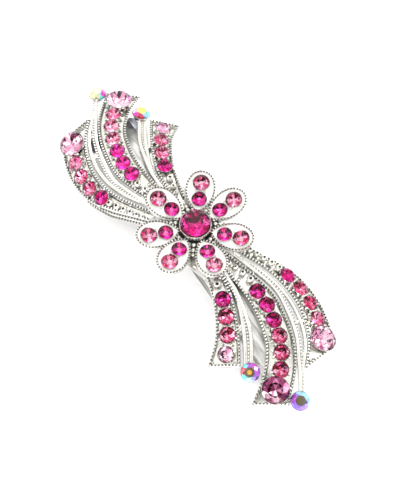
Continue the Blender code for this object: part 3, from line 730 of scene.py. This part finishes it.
def claw_petal(form, i):
    """Seats of a petal's two stones, with claws where they meet and at the outer stone's sides."""
    inner = stone_facts(f"petal_{i + 1}_inner_stone")
    outer = stone_facts(f"petal_{i + 1}_outer_stone")
    seat(form, *inner)
    seat(form, *outer)
    gap = unit(outer[0] - inner[0])
    across = unit(np.cross(outer[1], gap))
    drop = outer[1] * CLAW_DROP
    middle = (inner[0] + outer[0]) / 2 - drop
    for sign in (-1, 1):
        ball(form, middle + across * sign * PETAL_CLAW_OFFSET, PETAL_CLAW_RADIUS)
        side = outer[0] + unit(across * sign + gap * 0.2) * (outer[2] + 0.15) - drop
        ball(form, side, SIDE_CLAW_RADIUS)


# ---- stones

PAVILION_SHARE = 0.5
EIGHTH = math.pi / 4
# The side of the ornament towards which the stones' facets are painted brighter, as painted highlights,
# towards +X and -Y, and that side's right.
NEAR_SIDE = np.array((0.839, -0.545))
RIGHT_SIDE = np.array((0.545, 0.839))
# How much a stone's facets are painted brighter towards the near side, and by how much every other
# eighth of it is painted brighter, as painted highlights and reflections.
USUAL_SLANT = 0.45
SLANT = {"centre_stone": 0.65}
USUAL_SWING = 0.5
SWING = {"centre_stone": 0.25}
# How far tones vary by chance, from one eighth, facet or table to another.
EIGHTH_SPREAD = 0.2
FACET_SPREAD = 0.12
TABLE_SPREAD = 0.15
# The middle of a table has one of these tones, a painted reflection, mostly dark.
TABLE_TONES = (0.02, 0.06, 0.3)
# The centre stone's outer facets are painted brighter on the far side by this much, as painted
# highlights.
CENTRE_FAR_TONE = 0.6
# The stones' facets are painted brighter towards the -X end, and some tip stones brighter or darker than
# their row, as painted light.
TONE_SLOPE = 0.0034
STONE_TONES = {
    "left_middle_band_stone_1": 0.18,
    "left_outer_band_stone_1": -0.14,
    "right_middle_band_stone_1": -0.25,
    "right_outer_band_stone_1": 0.1,
    "right_inner_band_stone_1": 0.15,
    "centre_stone": -0.22,
}


def brilliant(radius, shift):
    """Points and faces of a brilliant-cut stone, girdle at height 0. Faces are (kind, point numbers)."""
    table_r, table_z = 0.56, CROWN_SHARE
    girdle_z = 0.05
    star_r = 0.8
    low_r = 0.44
    heart_r = 0.26
    half = math.cos(EIGHTH / 2)
    star_z = table_z + (girdle_z - table_z) * (star_r * half - table_r) / (1 - table_r)
    low_z = -PAVILION_SHARE * (1 - low_r * half)

    def ring(count, r, z, offset):
        turn = np.arange(count) * FULL_TURN / count + offset + shift
        return np.stack([r * np.cos(turn), r * np.sin(turn), np.full(count, z)], axis=1)

    points = np.vstack([
        ring(8, table_r, table_z, EIGHTH / 2), ring(8, star_r, star_z, 0), ring(16, 1.0, girdle_z, 0),
        ring(16, 1.0, 0.0, 0), ring(8, low_r, low_z, 0), [(0, 0, -PAVILION_SHARE)],
        ring(8, heart_r, table_z, EIGHTH / 2),
    ]) * radius
    table, star, upper, lower, low, culet, heart = 0, 8, 16, 32, 48, 56, 57
    faces = [("heart", tuple(range(heart, heart + 8)))]
    for k in range(8):
        n = (k + 1) % 8
        here = 2 * k
        faces.append(("table", (table + k, table + n, heart + n, heart + k)))
        faces.append(("star", (table + (k - 1) % 8, table + k, star + k)))
        faces.append(("kite", (table + k, star + k, upper + here + 1, star + n)))
        faces.append(("upper", (star + k, upper + (here - 1) % 16, upper + here)))
        faces.append(("upper", (star + k, upper + here, upper + here + 1)))
        faces.append(("lower", (low + k, lower + (here - 1) % 16, lower + here)))
        faces.append(("lower", (low + k, lower + here, lower + here + 1)))
        faces.append(("main", (culet, low + k, lower + here + 1, low + n)))
    for j in range(16):
        faces.append(("girdle", (upper + j, upper + (j + 1) % 16, lower + (j + 1) % 16, lower + j)))
    return points, faces


def facet_tones(node, along, middles, kinds):
    """Each facet's tone from 0, dark, to 1, bright: painted reflections and highlights, brighter towards
    the near side and on every other eighth, with dark tables. The first facet is the table's middle.
    """
    sideways = np.linalg.norm(middles[:, :2], axis=1) + 1e-6
    near = 0.5 + 0.5 * (middles[:, :2] @ NEAR_SIDE) / sideways
    eighths = RANDOM.uniform(0, EIGHTH_SPREAD, 8) + SWING.get(node, USUAL_SWING) * (np.arange(8) % 2)
    sector = np.floor(np.arctan2(middles[:, 1], middles[:, 0]) / EIGHTH).astype(int) % 8
    tones = near * SLANT.get(node, USUAL_SLANT) + eighths[sector]
    tones += RANDOM.uniform(-FACET_SPREAD, FACET_SPREAD, len(kinds))
    flat = np.array([kind == "table" for kind in kinds])
    # Table facets are painted dark, as a painted reflection.
    tones[flat] = RANDOM.uniform(0.0, TABLE_SPREAD) + 0.2 * near[flat]
    tones[0] = RANDOM.choice(TABLE_TONES)
    tones += STONE_TONES.get(node, 0) - along * TONE_SLOPE
    if node == "centre_stone":
        outer = np.array([kind in ("star", "kite", "upper", "lower") for kind in kinds])
        tones[outer] += CENTRE_FAR_TONE * (1 - near[outer])
    return np.clip(tones, 0, 1)


def make_stone(node, colour, slot):
    """A cut stone in a CAD stone's place, with glass in front and foil or coating behind."""
    girdle, axis, radius = stone_facts(node)
    points, faces = brilliant(radius, RANDOM.uniform(0, EIGHTH))
    turned = girdle + points @ np.stack([*across_axis(axis), axis])
    mesh_data = mesh_of(node + "_cut", turned, [face for _, face in faces])
    kinds = [kind for kind, _ in faces]
    for face, kind in zip(mesh_data.polygons, kinds):
        face.material_index = 1 if kind in ("lower", "main") else 0
    middles = np.array([turned[list(face)].mean(axis=0) - girdle for _, face in faces])
    tint = mesh_data.attributes.new("tint", "FLOAT", "FACE")
    tint.data.foreach_set("value", facet_tones(node, girdle[0], middles, kinds))
    if slot == "aurora":
        paint_aurora(mesh_data, kinds, middles, AURORA_LOOKS[node])
    make_object(node + "_cut", mesh_data, colour, "root", slot, node)


# The rainbow colours of the iridescent stones, painted as the coating's reflections.
CYAN = (0.10, 0.80, 0.86)
SKY = (0.35, 0.72, 0.95)
VIOLET = (0.34, 0.20, 0.85)
PURPLE = (0.50, 0.10, 0.75)
MAGENTA = (0.85, 0.06, 0.55)
RED = (0.75, 0.02, 0.08)
YELLOW = (0.92, 0.92, 0.12)
PALE = (0.80, 0.78, 0.50)
PINK = (0.95, 0.55, 0.85)
WHITE = (0.95, 0.97, 1.0)
OLIVE = (0.10, 0.07, 0.01)
AMBER = (0.85, 0.42, 0.02)
# Each iridescent stone: its table's colour and the table's middle, then eight sectors of its crown,
# clockwise from the far side, painted as the coating's reflections, from white glints to dark tables.
AURORA_LOOKS = {
    "left_outer_aurora_stone": (PALE, WHITE, PALE, PINK, MAGENTA, CYAN, PALE, PALE, PALE, PALE),
    "left_inner_aurora_stone": (YELLOW, YELLOW, YELLOW, PURPLE, CYAN, SKY, RED, MAGENTA, PINK, PURPLE),
    "right_outer_aurora_stone": (OLIVE, OLIVE, SKY, SKY, SKY, VIOLET, VIOLET, VIOLET, PURPLE, VIOLET),
    "right_inner_aurora_stone": (OLIVE, AMBER, PURPLE, MAGENTA, PURPLE, VIOLET, SKY, CYAN, RED, CYAN),
}


def paint_aurora(mesh_data, kinds, middles, look):
    """The rainbow coating, with its reflections painted in: each facet's colour depends on the side that
    it faces.
    """
    layer = mesh_data.attributes.new("coating_and_painted_reflections", "FLOAT_COLOR", "FACE")
    values = []
    for kind, middle in zip(kinds, middles):
        if kind in ("table", "heart"):
            values.append((*look[kind == "heart"], 1))
            continue
        turn = math.atan2(middle[:2] @ RIGHT_SIDE, -middle[:2] @ NEAR_SIDE)
        sector = round(turn / EIGHTH + RANDOM.uniform(-0.3, 0.3)) % 8
        shade = RANDOM.uniform(0.7, 1.05)
        values.append((*[min(1, c * shade) for c in look[2 + sector]], 1))
    layer.data.foreach_set("color", np.array(values, np.float32).ravel())


# ---- materials

def new_material(name):
    material = bpy.data.materials.new(name)
    material.use_nodes = True
    nodes = material.node_tree.nodes
    return material, nodes, material.node_tree.links, nodes["Principled BSDF"]


def attribute(nodes, name, output):
    node = nodes.new("ShaderNodeAttribute")
    node.attribute_name = name
    return node.outputs[output]


def noise(nodes, links, scale, detail, stretch=None):
    """A cloud in the object's own coordinates, in metres, from 0 to 1."""
    where = nodes.new("ShaderNodeTexCoord")
    texture = nodes.new("ShaderNodeTexNoise")
    texture.inputs["Scale"].default_value = scale
    texture.inputs["Detail"].default_value = detail
    if stretch:
        mapping = nodes.new("ShaderNodeMapping")
        mapping.inputs["Scale"].default_value = stretch
        links.new(where.outputs["Object"], mapping.inputs["Vector"])
        links.new(mapping.outputs["Vector"], texture.inputs["Vector"])
    else:
        links.new(where.outputs["Object"], texture.inputs["Vector"])
    return texture.outputs["Fac"]


def ramp(nodes, links, value, stops):
    """A colour that follows a value through stops of (value, colour)."""
    node = nodes.new("ShaderNodeValToRGB")
    elements = node.color_ramp.elements
    while len(elements) < len(stops):
        elements.new(0.5)
    for element, (place, colour) in zip(elements, stops):
        element.position = place
        element.color = (*colour, 1)
    links.new(value, node.inputs["Fac"])
    return node.outputs["Color"]


def span(nodes, links, value, low, high, start=0.0, end=1.0):
    """A number that runs from low to high while the value runs from start to end."""
    node = nodes.new("ShaderNodeMapRange")
    node.inputs["From Min"].default_value = start
    node.inputs["From Max"].default_value = end
    node.inputs["To Min"].default_value = low
    node.inputs["To Max"].default_value = high
    links.new(value, node.inputs["Value"])
    return node.outputs["Result"]


def mixed(nodes, links, factor, one, two):
    node = nodes.new("ShaderNodeMix")
    node.data_type = "RGBA"
    links.new(factor, node.inputs["Factor"])
    for socket, value in ((node.inputs[6], one), (node.inputs[7], two)):
        if isinstance(value, tuple):
            socket.default_value = (*value, 1)
        else:
            links.new(value, socket)
    return node.outputs[2]


def bump(nodes, links, shader, height, distance, strength):
    node = nodes.new("ShaderNodeBump")
    node.inputs["Distance"].default_value = distance
    node.inputs["Strength"].default_value = strength
    links.new(height, node.inputs["Height"])
    links.new(node.outputs["Normal"], shader.inputs["Normal"])


def plated_metal():
    """Bright rhodium plate, whose finish and painted shade follow the values that Form describes."""
    material, nodes, links, shader = new_material("bright_rhodium")
    painted_shade_and_satin = attribute(nodes, "painted_shade_and_satin", "Fac")
    cloud = noise(nodes, links, 420.0, 4.0)
    polished = ramp(nodes, links, cloud, ((0.3, (0.83, 0.825, 0.785)), (0.7, (0.91, 0.905, 0.87))))
    # Painted shade: above 0 the colour is painted darker, as shade in hollows, gaps and undersides; from
    # 1 to 2 it is painted black, as deep shadow.
    painted_shaded = mixed(nodes, links, painted_shade_and_satin, polished, (0.13, 0.125, 0.11))
    blackness = span(nodes, links, painted_shade_and_satin, 0.0, 1.0, 1.0, 2.0)
    blackened = mixed(nodes, links, blackness, painted_shaded, (0.02, 0.02, 0.02))
    whiteness = span(nodes, links, painted_shade_and_satin, 1.0, 0.0, -1.0, 0.0)
    whitened = mixed(nodes, links, whiteness, blackened, (0.97, 0.97, 0.94))
    links.new(whitened, shader.inputs["Base Color"])
    links.new(span(nodes, links, painted_shade_and_satin, 0.45, 1.0, -1.0, -0.2), shader.inputs["Metallic"])
    polish = span(nodes, links, noise(nodes, links, 900.0, 2.0), 0.08, 0.22)
    satin = span(nodes, links, painted_shade_and_satin, 0.38, 0.0, -1.0, 0.0)
    rough = nodes.new("ShaderNodeMath")
    rough.operation = "MAXIMUM"
    links.new(polish, rough.inputs[0])
    links.new(satin, rough.inputs[1])
    links.new(rough.outputs["Value"], shader.inputs["Roughness"])
    bump(nodes, links, shader, noise(nodes, links, 1400.0, 3.0), 0.00004, 0.5)
    return material


def brushed_metal(name, light, dark, roughness, painted_shade_span=None):
    """Metal with fine lines along its length.

    If given, the last argument is a pair of distances towards -X, in metres: a dark painted shade starts
    at the first and is full at the second.
    """
    material, nodes, links, shader = new_material(name)
    lines = noise(nodes, links, 900.0, 4.0, (0.03, 1.0, 1.0))
    colour = ramp(nodes, links, lines, ((0.36, dark), (0.6, light)))
    if painted_shade_span:
        # Towards -X the colour is painted dark in a cloud, as shade under the ornament.
        where = nodes.new("ShaderNodeTexCoord")
        length = nodes.new("ShaderNodeSeparateXYZ")
        links.new(where.outputs["Object"], length.inputs["Vector"])
        reach = nodes.new("ShaderNodeMath")
        reach.operation = "MULTIPLY"
        reach.inputs[1].default_value = -1.0
        links.new(length.outputs["X"], reach.inputs[0])
        end = span(nodes, links, reach.outputs["Value"], 0.0, 1.0, *painted_shade_span)
        cloud = noise(nodes, links, 260.0, 4.0)
        painted_shade_colour = ramp(nodes, links, cloud, ((0.38, (0.02, 0.02, 0.025)), (0.62, (0.17, 0.17, 0.16))))
        colour = mixed(nodes, links, end, colour, painted_shade_colour)
    links.new(colour, shader.inputs["Base Color"])
    shader.inputs["Metallic"].default_value = 0.65 if painted_shade_span else 1.0
    links.new(span(nodes, links, lines, roughness - 0.06, roughness + 0.08), shader.inputs["Roughness"])
    bump(nodes, links, shader, lines, 0.00008, 0.8)
    return material


def facet_tone(nodes, links):
    """Each facet's own painted tone of reflection, from 0, dark, to 1, bright, a little clouded inside a
    facet.
    """
    cloud = span(nodes, links, noise(nodes, links, 700.0, 1.0), -0.06, 0.06, 0.3, 0.7)
    add = nodes.new("ShaderNodeMath")
    links.new(attribute(nodes, "tint", "Fac"), add.inputs[0])
    links.new(cloud, add.inputs[1])
    return add.outputs["Value"]


def stone_glass(name, tint):
    """Clear coloured glass: each facet's painted tone runs from deep over the tint to pale."""
    material, nodes, links, shader = new_material(name + "_glass")
    deep = tuple(c * c * 0.66 for c in tint)
    pale = tuple(1 - (1 - c) * 0.6 for c in tint)
    colour = ramp(nodes, links, facet_tone(nodes, links), ((0.0, deep), (0.35, tint), (0.8, pale)))
    links.new(colour, shader.inputs["Base Color"])
    shader.inputs["Roughness"].default_value = 0.0
    shader.inputs["IOR"].default_value = 1.55
    shader.inputs["Specular Tint"].default_value = (0.36, 0.28, 0.32, 1.0)
    shader.inputs["Transmission Weight"].default_value = 1.0
    return material


def stone_foil(name, dark, middle, light):
    """The mirror coat behind a stone: each facet returns its own painted tone, as painted reflections.
    """
    material, nodes, links, shader = new_material(name + "_foil")
    stops = ((0.1, dark), (0.26, tuple(c * 0.85 for c in middle)), (0.42, middle), (0.66, light))
    links.new(ramp(nodes, links, facet_tone(nodes, links), stops), shader.inputs["Base Color"])
    shader.inputs["Metallic"].default_value = 1.0
    shader.inputs["Roughness"].default_value = 0.05
    return material


def aurora_coat():
    """A bright iridescent coating whose colours are painted per facet as its reflections, a little
    clouded.
    """
    material, nodes, links, shader = new_material("aurora_coat")
    haze = span(nodes, links, noise(nodes, links, 500.0, 1.0), 0.0, 0.12, 0.4, 0.7)
    colour = mixed(nodes, links, haze, attribute(nodes, "coating_and_painted_reflections", "Color"), (0.9, 0.95, 1.0))
    links.new(colour, shader.inputs["Base Color"])
    shader.inputs["Metallic"].default_value = 0.75
    shader.inputs["Roughness"].default_value = 0.08
    shader.inputs["Coat Weight"].default_value = 1.0
    shader.inputs["Coat Roughness"].default_value = 0.02
    return material


def floor_paper():
    material, nodes, links, shader = new_material("white_paper")
    grain = noise(nodes, links, 900.0, 2.0)
    colour = ramp(nodes, links, grain, ((0.3, (0.93, 0.93, 0.93)), (0.7, (0.96, 0.96, 0.96))))
    links.new(colour, shader.inputs["Base Color"])
    shader.inputs["Roughness"].default_value = 0.7
    return material


# ---- pieces

def make_metalwork(metal):
    for side in ("left", "right"):
        mesh_data = fan(side).mesh(f"{side}_ribbon_fan")
        make_object(f"{side}_ribbon_fan", mesh_data, [metal], "root", "rhodium", "ornament_casting")
    make_object("hub_plate", hub().mesh("hub_plate"), [metal], "root", "rhodium", "ornament_casting")
    make_object("flower", flower().mesh("flower"), [metal], "root", "rhodium", "flower_casting")


# Each colour of stone: its glass, then its foil's dark, middle and light tones.
STONE_COLOURS = {
    "light_rose": ((1.0, 0.86, 0.93), (0.26, 0.05, 0.13), (0.88, 0.44, 0.64), (1.0, 0.88, 0.95)),
    "rose": ((1.0, 0.62, 0.76), (0.17, 0.0, 0.02), (0.88, 0.13, 0.34), (1.0, 0.72, 0.85)),
    "fuchsia": ((1.0, 0.28, 0.68), (0.10, 0.0, 0.04), (0.74, 0.01, 0.31), (0.94, 0.19, 0.66)),
    "deep_fuchsia": ((1.0, 0.38, 0.72), (0.09, 0.0, 0.03), (0.66, 0.02, 0.28), (0.90, 0.16, 0.58)),
}
# Bands end at the hub in darker stones: how many of each band's are fuchsia.
FUCHSIA_IN_BAND = {"outer_band": 1, "middle_band": 3, "inner_band": 1}


def make_stones():
    slots = {node: name for name, nodes in stone_slots().items() for node in nodes}
    sets = {
        name: [stone_glass(name, tint), stone_foil(name, *tones)]
        for name, (tint, *tones) in STONE_COLOURS.items()
    }
    coat = aurora_coat()
    sets["aurora"] = [coat, coat]
    for node in sorted(slots):
        make_stone(node, sets[slots[node]], slots[node])


def stone_slots():
    """Which stones take which colour."""
    light, rose, fuchsia, aurora = [], [], [], []
    for side in ("left", "right"):
        for name, count in STONES_IN_BAND.items():
            stones = [f"{side}_{name}_stone_{i + 1}" for i in range(count)]
            light.append(stones[0])
            rose += stones[1:count - FUCHSIA_IN_BAND[name]]
            fuchsia += stones[count - FUCHSIA_IN_BAND[name]:]
        aurora += [f"{side}_outer_aurora_stone", f"{side}_inner_aurora_stone"]
    for i in range(len(PETAL_ANGLES)):
        rose.append(f"petal_{i + 1}_outer_stone")
        fuchsia.append(f"petal_{i + 1}_inner_stone")
    return {
        "light_rose": light, "rose": rose, "fuchsia": fuchsia, "deep_fuchsia": ["centre_stone"],
        "aurora": aurora,
    }


HARDWARE = (
    "base_bar", "tension_bar", "lever_arm", "hinge_pin", "clasp_plate", "clasp_leg_left",
    "clasp_leg_right",
)
# Where the painted shade near the clasp starts and where it is full, towards -X, in metres.
CLASP_END_SHADE = (0.0272, 0.0305)
EDGE_ROUNDING = 0.00012


def finish_hardware():
    """Gives the clip's CAD pieces their metals and softens their edges."""
    steel = brushed_metal("spring_steel_brushed", (0.74, 0.75, 0.76), (0.34, 0.35, 0.37), 0.2)
    # The clasp pieces' steel is painted dark, as shade under the ornament and a dark reflection.
    dark = brushed_metal("steel_painted_dark", (0.27, 0.28, 0.32), (0.07, 0.075, 0.1), 0.18)
    bright = brushed_metal("plated_steel", (0.86, 0.855, 0.83), (0.34, 0.34, 0.32), 0.3, CLASP_END_SHADE)
    for node in HARDWARE:
        piece = frame["nodes"][node]
        material = bright if node in ("base_bar", "lever_arm") else dark if "clasp" in node else steel
        piece.data.materials.clear()
        piece.data.materials.append(material)
        rounded = piece.modifiers.new("rounded_edges", "BEVEL")
        rounded.width = EDGE_ROUNDING
        rounded.segments = 2
        rounded.limit_method = "ANGLE"
        rounded.angle_limit = SHARP_ANGLE
        rounded.harden_normals = True


# ---- studio

CAMERA_AZIMUTH = math.radians(57)
CAMERA_HEIGHT = math.radians(65)
CAMERA_DISTANCE = 297.0
CAMERA_LENS = 96.4
# The camera is moved sideways and down by this much, so the clip sits off the picture's middle.
CAMERA_SIDEWAYS = 1.97
CAMERA_DOWN = 4.77
LAMP_DISTANCE = 0.6
TABLE_SIZE = 1.5
# The tent as reflections see it: (cloud value, colour). Its darkest parts are gaps between its sheets.
TENT_TONES = (
    (0.31, (0.05, 0.05, 0.045)), (0.36, (0.75, 0.75, 0.72)), (0.41, (1.07, 1.06, 1.02)),
    (0.55, (1.22, 1.21, 1.175)),
)
# The tent as it lights matt surfaces, and as the camera sees it beyond the table.
TENT_LIGHT = (1.9, 1.88, 1.88)
TENT_BACKDROP = (1.0, 1.0, 1.0)


def make_camera():
    """Places the camera, and returns the direction from the clip towards it."""
    level = math.cos(CAMERA_HEIGHT)
    away = Vector((
        math.sin(CAMERA_AZIMUTH) * level, -math.cos(CAMERA_AZIMUTH) * level, math.sin(CAMERA_HEIGHT),
    ))
    across = Vector((math.cos(CAMERA_AZIMUTH), math.sin(CAMERA_AZIMUTH), 0))
    upward = away.cross(across)
    middle = Vector((0, 0, LIFT))
    data = bpy.data.cameras.new("camera")
    data.lens = CAMERA_LENS
    data.sensor_width = 36
    data.clip_start = 0.01
    data.clip_end = 20
    camera = bpy.data.objects.new("camera", data)
    bpy.context.scene.collection.objects.link(camera)
    shift = across * CAMERA_SIDEWAYS - upward * CAMERA_DOWN
    camera.location = (middle + away * CAMERA_DISTANCE + shift) * MM
    camera.rotation_mode = "QUATERNION"
    camera.rotation_quaternion = (-away).to_track_quat("-Z", "Y")
    bpy.context.scene.camera = camera
    return away


def area_light(name, direction, size, power):
    """A round lamp in a direction from the table's middle, turned towards it."""
    data = bpy.data.lights.new(name, "AREA")
    data.shape = "DISK"
    data.size = size
    data.energy = power
    light = bpy.data.objects.new(name, data)
    bpy.context.scene.collection.objects.link(light)
    direction = Vector(direction).normalized()
    light.location = direction * LAMP_DISTANCE
    light.rotation_mode = "QUATERNION"
    light.rotation_quaternion = direction.to_track_quat("Z", "Y")


def make_world(away):
    """A white light tent, dark at the hole for the lens and overhead, with a few dark gaps."""
    sky = bpy.data.worlds.new("studio")
    bpy.context.scene.world = sky
    sky.use_nodes = True
    nodes, links = sky.node_tree.nodes, sky.node_tree.links
    background = nodes["Background"]
    where = nodes.new("ShaderNodeTexCoord")
    texture = nodes.new("ShaderNodeTexNoise")
    texture.inputs["Scale"].default_value = 2.2
    texture.inputs["Detail"].default_value = 1.5
    links.new(where.outputs["Generated"], texture.inputs["Vector"])
    seen = ramp(nodes, links, texture.outputs["Fac"], TENT_TONES)
    overhead = Vector((-away.x, -away.y, away.z))
    # Each dark patch is full within one angle and ends at another, in degrees.
    for direction, inside, outside, shade in ((away, 9, 16, 0.03), (overhead, 6, 13, 0.15)):
        aim = nodes.new("ShaderNodeVectorMath")
        aim.operation = "DOT_PRODUCT"
        aim.inputs[1].default_value = direction
        links.new(where.outputs["Generated"], aim.inputs[0])
        edges = [math.cos(math.radians(angle)) for angle in (outside, inside)]
        patch = span(nodes, links, aim.outputs["Value"], 0.0, 1.0, *edges)
        seen = mixed(nodes, links, patch, seen, (shade, shade, shade))
    path = nodes.new("ShaderNodeLightPath")
    lit = mixed(nodes, links, path.outputs["Is Diffuse Ray"], seen, TENT_LIGHT)
    colour = mixed(nodes, links, path.outputs["Is Camera Ray"], lit, TENT_BACKDROP)
    links.new(colour, background.inputs["Color"])


def make_studio():
    away = make_camera()
    make_world(away)
    area_light("overhead", (-0.5, 0.35, 1.0), 0.3, 0.8)
    area_light("side", (0.2, 1.0, 0.8), 0.15, 0.4)
    area_light("front", (0.9, -0.8, 0.7), 0.15, 0.4)
    mesh_data = bpy.data.meshes.new("table")
    bm = bmesh.new()
    bmesh.ops.create_grid(bm, x_segments=4, y_segments=4, size=TABLE_SIZE)
    bm.to_mesh(mesh_data)
    bm.free()
    table = bpy.data.objects.new("table", mesh_data)
    bpy.context.scene.collection.objects.link(table)
    mesh_data.materials.append(floor_paper())
    bpy.context.scene.view_settings.view_transform = "Standard"


make_metalwork(plated_metal())
make_stones()
finish_hardware()
make_studio()
